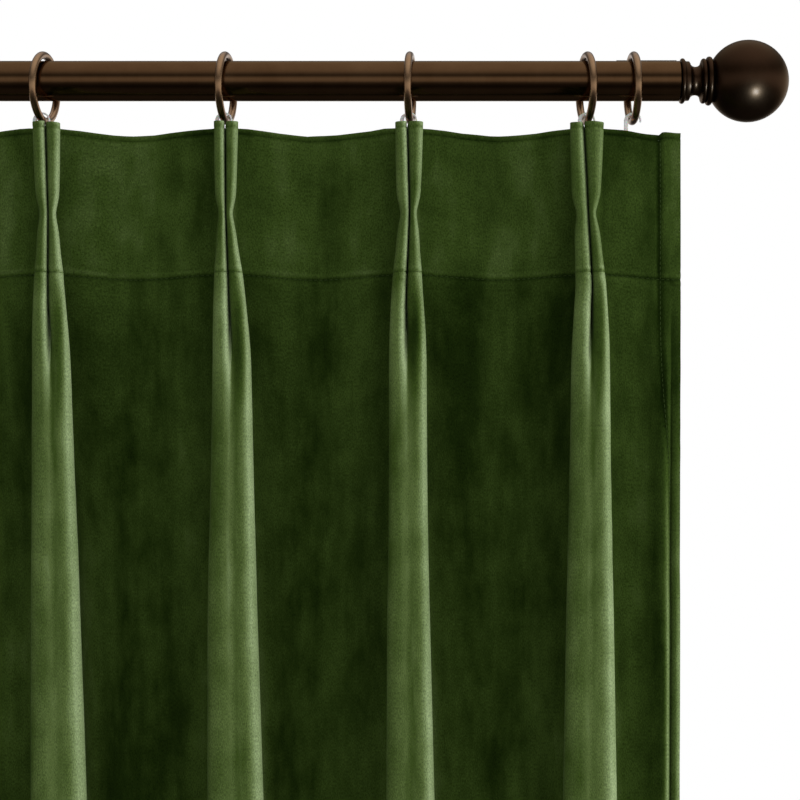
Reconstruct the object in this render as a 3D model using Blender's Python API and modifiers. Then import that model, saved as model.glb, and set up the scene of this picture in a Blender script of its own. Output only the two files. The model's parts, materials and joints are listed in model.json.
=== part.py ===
"""Window curtain on a wall-mounted rod, as an assembly of separate pieces.

One velvet panel with double pinch pleats hangs from twelve rings on a bronze rod that ends
in turned ball finials. Units are metres and +Z is up. The origin lies on the wall, midway
along the rod and level with its axis. +X runs along the rod and +Y into the wall, so the
face of the curtain looks along -Y.
"""
import math

import bmesh
import bpy

MM = 0.001

# Driving dimensions of the curtain
PLEAT_COUNT = 10
PLEAT_PITCH = 127 * MM
EDGE_ALLOWANCE = 63 * MM        # last pleat's centre to the curtain's side edge
FINISHED_LENGTH = 2134 * MM
EDGE_RING_INSET = 31.5 * MM     # side edge to the ring beside it
CLOTH = 1.6 * MM                # velvet with its lining
HEADING = 102 * MM              # depth of the stiffened heading
BAND_THICKNESS = 0.8 * MM

# Driving dimensions of the rod, its rings and its brackets
ROD_RADIUS = 14 * MM
ROD_WALL = 1.2 * MM
PROJECTION = 70 * MM            # wall to rod axis
RING_BORE = 19.4 * MM           # radius
RING_WIRE = 3.1 * MM            # radius
BALL_RADIUS = 28.6 * MM
SEAT = 0.3 * MM                 # gap between pieces that touch

# Sizes that follow from them
ROD_LENGTH = (PLEAT_COUNT - 1) * PLEAT_PITCH + 2 * EDGE_ALLOWANCE
ROD_BORE = ROD_RADIUS - ROD_WALL
RING_RADIUS = RING_BORE + RING_WIRE
RING_CENTRE_Z = ROD_RADIUS + SEAT - RING_BORE
RING_BOTTOM_Z = RING_CENTRE_Z - RING_RADIUS - RING_WIRE
HEADER_TOP_Z = RING_BOTTOM_Z - 3.2 * MM
HEADER_Y = -PROJECTION - 7 * MM
BAND_Y = HEADER_Y + CLOTH / 2 + SEAT + BAND_THICKNESS / 2
HOOK_DEPTH = 2 * MM
HOOK_Y = BAND_Y + BAND_THICKNESS / 2 + SEAT + HOOK_DEPTH / 2
TOP_EDGE_SAG = 5.5 * MM         # dip of the top edge between two pleats
BAND_INSET = 2 * MM             # cloth edge to the edge of the stiff strip

# Hook: a plate pinned behind the heading, a leg, an arch over the ring's wire, and a tip
HOOK_INNER = RING_WIRE + 0.95 * MM
HOOK_LEG = 2.8 * MM
HOOK_TIP = 1.2 * MM
HOOK_TIP_DROP = 1.8 * MM
HOOK_CROWN = 1.2 * MM
HOOK_PLATE_LENGTH = 40 * MM
HOOK_PLATE_TOP = HEADER_TOP_Z - 12 * MM
HOOK_PLATE_CORNER = 2 * MM

# Turn of each ring about the vertical, in degrees, and its small offset from its pleat
RING_YAWS = (4.0, 6.5, -7.0, 5.0, -8.5, 6.0, -4.0, -11.5, -8.5, -4.8, 7.2, 3.3)
RING_OFFSETS = (0.0, 0.6, -1.0, 0.8, 0.0, -0.8, 0.5, 0.0, 0.0, 1.8, -1.8, -0.8)

# The bracket's stud runs through the saddle and the back of the rod into the clamp nut
BRACKET_X = ROD_LENGTH / 2 - 14.5 * MM
BRACKET_ANGLE = math.radians(15)    # the saddle sits this far above the rod's level
SADDLE_HALF_ANGLE = math.radians(44)
SADDLE_WIDTH = 18 * MM
SADDLE_THICKNESS = 2.5 * MM
STUD_RADIUS = 3 * MM
STUD_IN_ARM = 9 * MM
NUT_DEPTH = 5 * MM
NUT_WIDTH = 12 * MM
NUT_HALF_ANGLE = math.radians(34)
ARM_RADIUS = 5 * MM
ARM_STRAIGHT = 18 * MM              # pull of the arm's bend at either end
PLATE_SIZE = (44 * MM, 3 * MM, 28 * MM)
PLATE_Z = 12 * MM
PLATE_HOLE_SPACING = 30 * MM
PLATE_HOLE_RADIUS = 2.5 * MM

# The finial's stud runs through the neck into the ball, and into a plug in the rod's end
PLUG_LENGTH = 8 * MM
STUD_INSET = 1 * MM                 # the stud stops this far short of the plug's inner face
FINIAL_STUD_RADIUS = 4 * MM
FINIAL_STUD_REACH = 36 * MM
NECK_LENGTH = 23.4 * MM
NECK_END_RADIUS = 15.2 * MM
BALL_CENTRE = NECK_LENGTH + SEAT + math.sqrt(BALL_RADIUS**2 - NECK_END_RADIUS**2)

TURNED_STEPS = 24
CUTTER_OVERRUN = 3 * MM
SHARP_ANGLE = math.radians(35)
WELD = 1e-5


def clear_scene():
    for obj in list(bpy.data.objects):
        bpy.data.objects.remove(obj, do_unlink=True)


def new_collection(name, hidden=False):
    collection = bpy.data.collections.new(name)
    collection.hide_render = hidden
    bpy.context.scene.collection.children.link(collection)
    return collection


def material(name, colour, roughness, metallic=0.0):
    mat = bpy.data.materials.new(name)
    mat.use_nodes = True
    shader = mat.node_tree.nodes["Principled BSDF"]
    shader.inputs["Base Color"].default_value = (*colour, 1.0)
    shader.inputs["Roughness"].default_value = roughness
    shader.inputs["Metallic"].default_value = metallic
    mat.diffuse_color = (*colour, 1.0)
    return mat


def mesh_object(name, mesh, mat, collection):
    obj = bpy.data.objects.new(name, mesh)
    if mat:
        mesh.materials.append(mat)
    collection.objects.link(obj)
    return obj


def adopt(name, mat, collection):
    """Names the active object, gives it its material and moves it to its collection."""
    obj = bpy.context.object
    obj.name = name
    obj.data.name = name
    for old in list(obj.users_collection):
        old.objects.unlink(obj)
    collection.objects.link(obj)
    if mat:
        obj.data.materials.append(mat)
    return obj


def turned(name, profile, closed, mat, collection, steps=TURNED_STEPS):
    """A turned piece: profile points are (radius, height) down the outer side."""
    mesh = bpy.data.meshes.new(name)
    edges = [(i, i + 1) for i in range(len(profile) - 1)]
    if closed:
        edges.append((len(profile) - 1, 0))
    mesh.from_pydata([(r, 0, h) for r, h in profile], edges, [])
    obj = mesh_object(name, mesh, mat, collection)
    screw = obj.modifiers.new("turn", "SCREW")
    screw.axis = "Z"
    screw.steps = screw.render_steps = steps
    screw.use_merge_vertices = True
    screw.merge_threshold = WELD
    screw.use_smooth_shade = True
    return obj


def as_cutter(obj):
    obj.hide_render = True
    obj.display_type = "WIRE"
    return obj


def cut(obj, cutter):
    boolean = obj.modifiers.new("cut", "BOOLEAN")
    boolean.operation = "DIFFERENCE"
    boolean.solver = "EXACT"
    boolean.object = cutter


def arc(centre, radius, start, end, steps):
    """Points (u, v) of an arc, angles in degrees from +u towards +v."""
    turns = [math.radians(start + (end - start) * i / steps) for i in range(steps + 1)]
    return [(centre[0] + radius * math.cos(t), centre[1] + radius * math.sin(t)) for t in turns]


# Rod and finials

def make_rod(mat, collection, cutters):
    half = ROD_LENGTH / 2
    profile = [(ROD_RADIUS, half), (ROD_RADIUS, -half), (ROD_BORE, -half), (ROD_BORE, half)]
    rod = turned("rod_tube", profile, True, mat, collection, steps=32)
    rod.location = (0, -PROJECTION, 0)
    rod.rotation_euler = (0, math.radians(90), 0)
    for cutter in cutters:
        cut(rod, cutter)
    return rod


def neck_profile():
    """Two base beads, a cove, then two collar beads, around the bore for the stud."""
    bore = FINIAL_STUD_RADIUS + SEAT
    outer = [
        (NECK_END_RADIUS - 0.6 * MM, NECK_LENGTH),
        (16.6 * MM, 22.4 * MM),
        (17.05 * MM, 20.6 * MM),
        (16.5 * MM, 18.9 * MM),
        (15.2 * MM, 18.3 * MM),
        (15.6 * MM, 16.8 * MM),
        (14.9 * MM, 15.3 * MM),
        (11.6 * MM, 13.7 * MM),
        (9.9 * MM, 11.1 * MM),
        (11.2 * MM, 8.6 * MM),
        (13.6 * MM, 6.9 * MM),
        (13.7 * MM, 4.2 * MM),
        (15.6 * MM, 3.4 * MM),
        (15.8 * MM, 2.0 * MM),
        (15.3 * MM, SEAT),
    ]
    return outer + [(bore, SEAT), (bore, NECK_LENGTH)]


def ball_profile():
    """A ball cut flat where it meets the neck, with a blind hole for the stud."""
    bore = FINIAL_STUD_RADIUS + SEAT
    flat_angle = math.degrees(math.asin(NECK_END_RADIUS / BALL_RADIUS))
    round_side = arc((0, BALL_CENTRE), BALL_RADIUS, 90, flat_angle - 90, 13)
    face = NECK_LENGTH + SEAT
    floor = FINIAL_STUD_REACH + SEAT
    round_side[0] = (0, BALL_CENTRE + BALL_RADIUS)
    return round_side + [(bore, face), (bore, floor), (0, floor)]


def make_finial(side, sign, mats, collection):
    """Plug, stud, neck and ball on one end of the rod, along its axis."""
    plug = ROD_BORE - SEAT
    bore = FINIAL_STUD_RADIUS + SEAT
    plug_profile = [(plug, -SEAT), (plug, -PLUG_LENGTH), (bore, -PLUG_LENGTH), (bore, -SEAT)]
    stud_profile = [
        (0, FINIAL_STUD_REACH),
        (FINIAL_STUD_RADIUS, FINIAL_STUD_REACH),
        (FINIAL_STUD_RADIUS, STUD_INSET - PLUG_LENGTH),
        (0, STUD_INSET - PLUG_LENGTH),
    ]
    pieces = [
        turned(f"rod_end_plug_{side}", plug_profile, True, mats["steel"], collection, 20),
        turned(f"finial_stud_{side}", stud_profile, False, mats["steel"], collection, 12),
        turned(f"finial_neck_{side}", neck_profile(), True, mats["finial"], collection, 20),
        turned(f"finial_ball_{side}", ball_profile(), False, mats["finial"], collection),
    ]
    for piece in pieces:
        piece.location = (sign * ROD_LENGTH / 2, -PROJECTION, 0)
        piece.rotation_euler = (0, sign * math.radians(90), 0)


# Rings and hooks

def ring_places():
    """Each ring's x, from the leading edge to the fixed edge."""
    first = -(PLEAT_COUNT - 1) * PLEAT_PITCH / 2
    edge = ROD_LENGTH / 2 - EDGE_RING_INSET
    places = [-edge] + [first + k * PLEAT_PITCH for k in range(PLEAT_COUNT)] + [edge]
    return [x + shift * MM for x, shift in zip(places, RING_OFFSETS)]


def ring_mesh(mat):
    bpy.ops.mesh.primitive_torus_add(
        major_radius=RING_RADIUS, minor_radius=RING_WIRE, major_segments=20, minor_segments=6,
        location=(0, 0, 0), rotation=(0, math.radians(90), 0))
    bpy.ops.object.transform_apply(location=False, rotation=True, scale=False)
    obj = bpy.context.object
    mesh = obj.data
    bpy.data.objects.remove(obj)
    mesh.name = "ring"
    mesh.shade_smooth()
    mesh.materials.append(mat)
    return mesh


def hook_outline():
    """The hook's flat outline, seen from behind the curtain."""
    off_axis = abs(HOOK_Y + PROJECTION) + HOOK_DEPTH / 2
    crown = RING_CENTRE_Z - math.sqrt(RING_BORE**2 - off_axis**2) + SEAT
    spring = crown - HOOK_INNER
    shoulder = HOOK_PLATE_TOP - HOOK_PLATE_CORNER
    plate_bottom = HOOK_PLATE_TOP - HOOK_PLATE_LENGTH
    plate_left = -HOOK_INNER - HOOK_LEG - 0.8 * MM
    plate_right = -HOOK_INNER + 4.2 * MM
    inside = arc((0, spring), HOOK_INNER, 0, 180, 6)
    outside = []
    for x, z in reversed(inside):
        side = HOOK_LEG if x < 0 else HOOK_TIP
        outside.append((
            x * (HOOK_INNER + side) / HOOK_INNER,
            spring + (z - spring) * (HOOK_INNER + HOOK_CROWN) / HOOK_INNER,
        ))
    plate = [
        (-HOOK_INNER, HOOK_PLATE_TOP),
        (plate_right, shoulder),
        (plate_right, plate_bottom),
        (plate_left, plate_bottom),
        (plate_left, shoulder),
        (-HOOK_INNER - HOOK_LEG, HOOK_PLATE_TOP),
    ]
    tip = [
        (HOOK_INNER + HOOK_TIP, spring - HOOK_TIP_DROP),
        (HOOK_INNER, spring - HOOK_TIP_DROP),
    ]
    return plate + outside + tip + inside


def hook_curve(mat):
    curve = bpy.data.curves.new("hook", "CURVE")
    curve.dimensions = "2D"
    curve.fill_mode = "BOTH"
    curve.extrude = HOOK_DEPTH / 2
    outline = hook_outline()
    spline = curve.splines.new("POLY")
    spline.points.add(len(outline) - 1)
    for point, (x, z) in zip(spline.points, outline):
        point.co = (x, z, 0, 1)
    spline.use_cyclic_u = True
    curve.materials.append(mat)
    return curve


def make_rings(mats, collection):
    """Twelve equal rings on the rod, each with the hook that hangs on its wire."""
    ring, hook = ring_mesh(mats["ring"]), hook_curve(mats["plastic"])
    for number, (x, yaw) in enumerate(zip(ring_places(), RING_YAWS), start=1):
        turn = math.radians(yaw)
        obj = bpy.data.objects.new(f"ring_{number:02d}", ring)
        obj.location = (x, -PROJECTION, RING_CENTRE_Z)
        obj.rotation_euler = (0, 0, turn)
        collection.objects.link(obj)
        obj = bpy.data.objects.new(f"hook_{number:02d}", hook)
        obj.location = (x - (HOOK_Y + PROJECTION) * math.tan(turn), HOOK_Y, 0)
        obj.rotation_euler = (math.radians(90), 0, 0)
        collection.objects.link(obj)


# Curtain

# One entry for each level of the panel: drop below the top edge, half-width of the pleat,
# depth of the groove between its two fingers, half-width at its root, and how far the nose
# stands in front of the heading and the valley lies behind it.
FOLD_LEVELS = (
    (0, 8.0 * MM, 33 * MM, 2.8 * MM, 36 * MM, 0),
    (62 * MM, 5.2 * MM, 32 * MM, 2.8 * MM, 34 * MM, 0),
    (HEADING, 8.8 * MM, 30 * MM, 3.0 * MM, 36 * MM, 0),
    (185 * MM, 13 * MM, 14 * MM, 5 * MM, 38 * MM, 20 * MM),
    (340 * MM, 15.5 * MM, 2.5 * MM, 7.5 * MM, 38 * MM, 33 * MM),
    (FINISHED_LENGTH, 18 * MM, 2.5 * MM, 8.5 * MM, 40 * MM, 35 * MM),
)
EDGE_VALLEY = 0.35          # share of the valley's depth that is left beside a side edge
EDGE_RETURN = 0.1           # share that is left at the edge itself
END_PLEAT_VALLEY = 0.6      # share at the root of an end pleat
EDGE_STRIP = 20 * MM        # width of the flat strip along a side edge


def half_pleat(level):
    """Points (offset from the pleat's centre, distance in front of the heading)."""
    _, half_width, groove, root, nose, valley = level
    return [
        (0.34 * half_width, nose - 0.12 * half_width),
        (0.68 * half_width, nose),
        (half_width, nose - 0.45 * half_width),
        (root, -valley),
    ]


def fold_section(level):
    """The panel's path in plan at one level, from the left edge to the right edge."""
    _, _, groove, _, nose, valley = level
    first = -(PLEAT_COUNT - 1) * PLEAT_PITCH / 2
    last = PLEAT_COUNT - 1
    half = half_pleat(level)
    edge = ROD_LENGTH / 2
    strip = [(edge - EDGE_STRIP, -valley * EDGE_VALLEY), (edge, -valley * EDGE_RETURN)]
    path = [(-x, d) for x, d in reversed(strip)]
    for k in range(PLEAT_COUNT):
        x = first + k * PLEAT_PITCH
        left = [(x - u, d) for u, d in reversed(half)]
        right = [(x + u, d) for u, d in half]
        if k == 0:
            left[0] = (left[0][0], -valley * END_PLEAT_VALLEY)
        if k == last:
            right[-1] = (right[-1][0], -valley * END_PLEAT_VALLEY)
        path += left + [(x, nose - groove)] + right
        if k < last:
            path.append((x + PLEAT_PITCH / 2, -valley))
    return path + strip


def top_edge_z(x):
    """The top edge dips between the pleats."""
    phase = (x / PLEAT_PITCH - (PLEAT_COUNT - 1) / 2) * 2 * math.pi
    return HEADER_TOP_Z - TOP_EDGE_SAG * (1 - math.cos(phase)) / 2


def make_curtain(mat, collection):
    """A loft through the fold levels, given the cloth's thickness."""
    mesh = bpy.data.meshes.new("curtain_panel")
    grid = bmesh.new()
    rows = []
    for level in FOLD_LEVELS:
        row = []
        for x, forward in fold_section(level):
            z = HEADER_TOP_Z - level[0]
            if level[0] < HEADING:
                z += (top_edge_z(x) - HEADER_TOP_Z) * (1 - level[0] / HEADING)
            row.append(grid.verts.new((x, HEADER_Y - forward, z)))
        rows.append(row)
    for upper, lower in zip(rows, rows[1:]):
        for i in range(len(upper) - 1):
            grid.faces.new((upper[i], lower[i], lower[i + 1], upper[i + 1]))
    grid.to_mesh(mesh)
    grid.free()
    obj = mesh_object("curtain_panel", mesh, mat, collection)
    solid = obj.modifiers.new("cloth", "SOLIDIFY")
    solid.thickness = CLOTH
    solid.offset = 0
    return obj


def make_heading_band(mat, collection):
    """The stiff strip at the back of the heading, which the hooks are pinned to."""
    mesh = bpy.data.meshes.new("buckram_band")
    grid = bmesh.new()
    half = ROD_LENGTH / 2 - BAND_INSET
    bottom = HEADER_TOP_Z - HEADING + BAND_INSET
    count = PLEAT_COUNT * 4
    columns = []
    for i in range(count + 1):
        x = -half + 2 * half * i / count
        top = top_edge_z(x) - BAND_INSET
        columns.append([grid.verts.new((x, BAND_Y, z)) for z in (top, bottom)])
    for a, b in zip(columns, columns[1:]):
        grid.faces.new((a[0], a[1], b[1], b[0]))
    grid.to_mesh(mesh)
    grid.free()
    obj = mesh_object("buckram_band", mesh, mat, collection)
    solid = obj.modifiers.new("stiffener", "SOLIDIFY")
    solid.thickness = BAND_THICKNESS
    solid.offset = 0
    return obj


# Brackets

def bracket_point(x, distance):
    """A point on the bracket stud's axis, at this distance behind the rod's axis."""
    return (
        x,
        -PROJECTION + distance * math.cos(BRACKET_ANGLE),
        distance * math.sin(BRACKET_ANGLE),
    )


def along_stud(name, radius, x, near, far, mat, collection, steps=12):
    """A cylinder on the stud's axis, from one distance behind the rod's axis to another."""
    bpy.ops.mesh.primitive_cylinder_add(
        vertices=steps, radius=radius, depth=far - near,
        location=bracket_point(x, (near + far) / 2),
        rotation=(BRACKET_ANGLE - math.radians(90), 0, 0))
    obj = adopt(name, mat, collection)
    obj.data.shade_smooth()
    obj.data.set_sharp_from_angle(angle=SHARP_ANGLE)
    return obj


def stud_cutter(side, x, collection):
    """Clears the stud's hole through the nut, the rod's back, the saddle and the arm's end."""
    start = ROD_BORE - SEAT - NUT_DEPTH - CUTTER_OVERRUN
    end = ROD_RADIUS + SEAT + SADDLE_THICKNESS + SEAT + STUD_IN_ARM
    cutter = along_stud(
        f"stud_cutter_{side}", STUD_RADIUS + SEAT, x, start, end, None, collection)
    return as_cutter(cutter)


def segment_outline(inner, outer, half_angle, steps=6):
    middle = math.degrees(BRACKET_ANGLE)
    spread = math.degrees(half_angle)
    return arc((0, 0), outer, middle - spread, middle + spread, steps) + arc(
        (0, 0), inner, middle + spread, middle - spread, steps)


def extruded_segment(name, inner, outer, half_angle, width, x, mat, collection):
    """A curved piece that follows the rod's back, made as a prism along X."""
    mesh = bpy.data.meshes.new(name)
    solid = bmesh.new()
    outline = segment_outline(inner, outer, half_angle)
    face = solid.faces.new([solid.verts.new((-width / 2, u, v)) for u, v in outline])
    pushed = bmesh.ops.extrude_face_region(solid, geom=[face])["geom"]
    moved = [item for item in pushed if isinstance(item, bmesh.types.BMVert)]
    bmesh.ops.translate(solid, verts=moved, vec=(width, 0, 0))
    bmesh.ops.recalc_face_normals(solid, faces=solid.faces)
    solid.to_mesh(mesh)
    solid.free()
    obj = mesh_object(name, mesh, mat, collection)
    obj.location = (x, -PROJECTION, 0)
    return obj


def make_arm(side, x, mat, collection, cutter):
    """A round arm that bows from the wall plate down to the back of the saddle."""
    start = bracket_point(x, ROD_RADIUS + SEAT + SADDLE_THICKNESS + SEAT)
    end = (x, -PLATE_SIZE[1] - SEAT, PLATE_Z)
    curve = bpy.data.curves.new("arm", "CURVE")
    curve.dimensions = "3D"
    curve.bevel_depth = ARM_RADIUS
    curve.bevel_resolution = 2
    curve.resolution_u = 6
    curve.use_fill_caps = True
    spline = curve.splines.new("BEZIER")
    spline.bezier_points.add(1)
    out = (0, math.cos(BRACKET_ANGLE), math.sin(BRACKET_ANGLE))
    first, last = spline.bezier_points
    first.co = start
    first.handle_left = tuple(s - ARM_STRAIGHT * o for s, o in zip(start, out))
    first.handle_right = tuple(s + ARM_STRAIGHT * o for s, o in zip(start, out))
    last.co = end
    last.handle_left = (x, end[1] - ARM_STRAIGHT, end[2])
    last.handle_right = (x, end[1] + ARM_STRAIGHT, end[2])
    drawn = bpy.data.objects.new("arm_curve", curve)
    collection.objects.link(drawn)
    bpy.context.view_layer.update()
    evaluated = drawn.evaluated_get(bpy.context.evaluated_depsgraph_get())
    mesh = bpy.data.meshes.new_from_object(evaluated)
    bpy.data.objects.remove(drawn)
    welded = bmesh.new()
    welded.from_mesh(mesh)
    bmesh.ops.remove_doubles(welded, verts=welded.verts, dist=WELD)
    welded.to_mesh(mesh)
    welded.free()
    arm = mesh_object(f"bracket_arm_{side}", mesh, mat, collection)
    cut(arm, cutter)
    return arm


def make_wall_plate(side, x, mat, collection, cutters):
    bpy.ops.mesh.primitive_cube_add(size=1, location=(x, -PLATE_SIZE[1] / 2, PLATE_Z))
    bpy.context.object.scale = PLATE_SIZE
    bpy.ops.object.transform_apply(location=False, rotation=False, scale=True)
    plate = adopt(f"wall_plate_{side}", mat, collection)
    for index, shift in enumerate((-PLATE_HOLE_SPACING / 2, PLATE_HOLE_SPACING / 2)):
        bpy.ops.mesh.primitive_cylinder_add(
            vertices=16, radius=PLATE_HOLE_RADIUS, depth=4 * PLATE_SIZE[1],
            location=(x + shift, -PLATE_SIZE[1] / 2, PLATE_Z), rotation=(math.radians(90), 0, 0))
        cut(plate, as_cutter(adopt(f"plate_hole_{side}_{index}", None, cutters)))
    return plate


def make_bracket(side, x, mats, collection, cutters, cutter):
    saddle_inner = ROD_RADIUS + SEAT
    saddle_outer = saddle_inner + SADDLE_THICKNESS
    nut_outer = ROD_BORE - SEAT
    saddle = extruded_segment(
        f"bracket_saddle_{side}", saddle_inner, saddle_outer, SADDLE_HALF_ANGLE,
        SADDLE_WIDTH, x, mats["metal"], collection)
    cut(saddle, cutter)
    nut = extruded_segment(
        f"clamp_nut_{side}", nut_outer - NUT_DEPTH, nut_outer, NUT_HALF_ANGLE,
        NUT_WIDTH, x, mats["steel"], collection)
    cut(nut, cutter)
    along_stud(
        f"bracket_stud_{side}", STUD_RADIUS, x, nut_outer - NUT_DEPTH,
        saddle_outer + STUD_IN_ARM, mats["steel"], collection)
    make_arm(side, x, mats["metal"], collection, cutter)
    make_wall_plate(side, x, mats["metal"], collection, cutters)


def main():
    clear_scene()
    parts = new_collection("window_curtain_on_rod")
    cutters = new_collection("cutters", hidden=True)
    mats = {
        "metal": material("oiled_bronze", (0.055, 0.03, 0.018), 0.34, 1.0),
        "ring": material("ring_bronze", (0.075, 0.042, 0.026), 0.3, 1.0),
        "finial": material("finial_bronze", (0.03, 0.014, 0.008), 0.25, 1.0),
        "steel": material("zinc_steel", (0.55, 0.55, 0.53), 0.35, 1.0),
        "plastic": material("white_plastic", (0.85, 0.86, 0.84), 0.35),
        "velvet": material("green_velvet", (0.035, 0.075, 0.018), 0.9),
        "buckram": material("buckram", (0.5, 0.48, 0.4), 0.9),
    }
    sides = (("left", -1), ("right", 1))
    stud_cutters = {side: stud_cutter(side, sign * BRACKET_X, cutters) for side, sign in sides}
    make_rod(mats["metal"], parts, stud_cutters.values())
    for side, sign in sides:
        make_finial(side, sign, mats, parts)
        make_bracket(side, sign * BRACKET_X, mats, parts, cutters, stud_cutters[side])
    make_rings(mats, parts)
    make_curtain(mats["velvet"], parts)
    make_heading_band(mats["buckram"], parts)


main()
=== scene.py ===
"""Looks of the curtain on its rod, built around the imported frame. Metres, +Z up."""

import json
import math

import bmesh
import bpy
import numpy as np
from mathutils import Matrix, Vector, noise


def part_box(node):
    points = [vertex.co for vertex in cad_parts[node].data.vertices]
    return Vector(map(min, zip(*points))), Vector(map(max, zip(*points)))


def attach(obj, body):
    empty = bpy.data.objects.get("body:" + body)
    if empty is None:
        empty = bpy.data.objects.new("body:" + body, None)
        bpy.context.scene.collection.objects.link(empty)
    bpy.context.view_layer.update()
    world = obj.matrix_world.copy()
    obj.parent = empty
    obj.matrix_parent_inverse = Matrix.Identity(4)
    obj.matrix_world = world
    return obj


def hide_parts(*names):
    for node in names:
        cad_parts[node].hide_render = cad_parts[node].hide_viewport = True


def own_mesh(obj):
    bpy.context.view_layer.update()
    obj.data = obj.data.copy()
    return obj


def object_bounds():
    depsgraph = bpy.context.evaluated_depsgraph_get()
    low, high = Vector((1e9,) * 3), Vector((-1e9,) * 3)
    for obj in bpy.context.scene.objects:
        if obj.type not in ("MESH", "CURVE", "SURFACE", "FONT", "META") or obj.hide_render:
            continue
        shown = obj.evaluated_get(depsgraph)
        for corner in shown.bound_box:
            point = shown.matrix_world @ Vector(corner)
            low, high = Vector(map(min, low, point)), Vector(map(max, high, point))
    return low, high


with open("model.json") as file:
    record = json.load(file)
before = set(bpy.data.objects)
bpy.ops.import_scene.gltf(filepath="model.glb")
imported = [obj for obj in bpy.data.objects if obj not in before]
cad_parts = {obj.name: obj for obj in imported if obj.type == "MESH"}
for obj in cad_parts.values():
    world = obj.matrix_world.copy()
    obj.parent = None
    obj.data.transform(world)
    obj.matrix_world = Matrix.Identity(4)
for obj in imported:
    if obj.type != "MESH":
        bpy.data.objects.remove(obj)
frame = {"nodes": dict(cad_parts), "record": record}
frame_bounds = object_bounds()

MM = 0.001

# Sizes read from the frame
ROD_LOW, ROD_HIGH = (Vector(corner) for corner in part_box("rod_tube"))
ROD_RADIUS = (ROD_HIGH.z - ROD_LOW.z) / 2
ROD_Y = (ROD_LOW.y + ROD_HIGH.y) / 2
ROD_Z = (ROD_LOW.z + ROD_HIGH.z) / 2
ROD_HALF = ROD_HIGH.x
PANEL_LOW, PANEL_HIGH = (Vector(corner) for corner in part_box("curtain_panel"))
BAND_LOW, BAND_HIGH = (Vector(corner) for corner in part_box("buckram_band"))
RINGS = sorted(name for name in frame["nodes"] if name.startswith("ring_"))
HOOKS = sorted(name for name in frame["nodes"] if name.startswith("hook_"))
BODIES = frame["record"]["behaviour"]["bodies"]
BODY_OF = {node: body for body, nodes in BODIES.items() for node in nodes}
FIXED_BODY = BODY_OF["rod_tube"]

# Camera: level, square to the rod, framing its right end and the top of the panel
VIEW_WIDTH = 560 * MM           # width seen at the rod's depth
CAMERA_DISTANCE = 1.4           # camera to rod axis
CAMERA_FROM_ROD_END = 195.3 * MM
CAMERA_BELOW_ROD = 223.2 * MM

# Curtain; it hangs as wide as the rod, and "forward" is towards the camera, -Y
PLEAT_COUNT = 10
PLEAT_PITCH = 127 * MM
HEADING = 102 * MM              # top edge to the heading's seam
HEM = 100 * MM                  # bottom edge to the hem's seam
SIDE_HEM = 14 * MM
CLOTH = 1.3 * MM                # thickness
HEADER_Y = ROD_Y - 7 * MM       # the heading's flats
TOP_Z = PANEL_HIGH.z
LENGTH = PANEL_HIGH.z - PANEL_LOW.z
FIRST_PLEAT = -(PLEAT_COUNT - 1) * PLEAT_PITCH / 2
EDGE = ROD_HALF
TOP_SEAM = 3.6 * MM             # top edge to the seam under it
STITCH_PITCH = 3.6 * MM
STITCH_LENGTH = 2.7 * MM

# Velvet: the direction of the side lamp, whose facing surfaces get painted light, and its tones
# from dark (0) to light (1)
LIT_SIDE_DIRECTION = Vector((0.93, -0.3, 0.2)).normalized()
VELVET_TONES = (
    (0.0, (0.008, 0.0165, 0.0024)),
    (0.12, (0.015, 0.030, 0.0045)),
    (0.32, (0.045, 0.078, 0.014)),
    (0.55, (0.104, 0.154, 0.045)),
    (0.78, (0.20, 0.275, 0.112)),
    (1.0, (0.34, 0.44, 0.22)),
)

# Brightness of the studio by height: 0 straight down, 1 straight up
STUDIO_LEVELS = (
    (0.0, 0.08), (0.06, 0.10), (0.19, 0.03), (0.28, 0.07), (0.37, 0.2), (0.43, 0.75),
    (0.56, 0.9), (0.64, 0.4), (0.71, 0.1), (0.80, 0.4), (0.90, 0.85), (1.0, 1.0),
)


def smoothstep(low, high, value):
    t = np.clip((np.asarray(value, float) - low) / (high - low), 0, 1)
    return t * t * (3 - 2 * t)


# Materials

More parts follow.
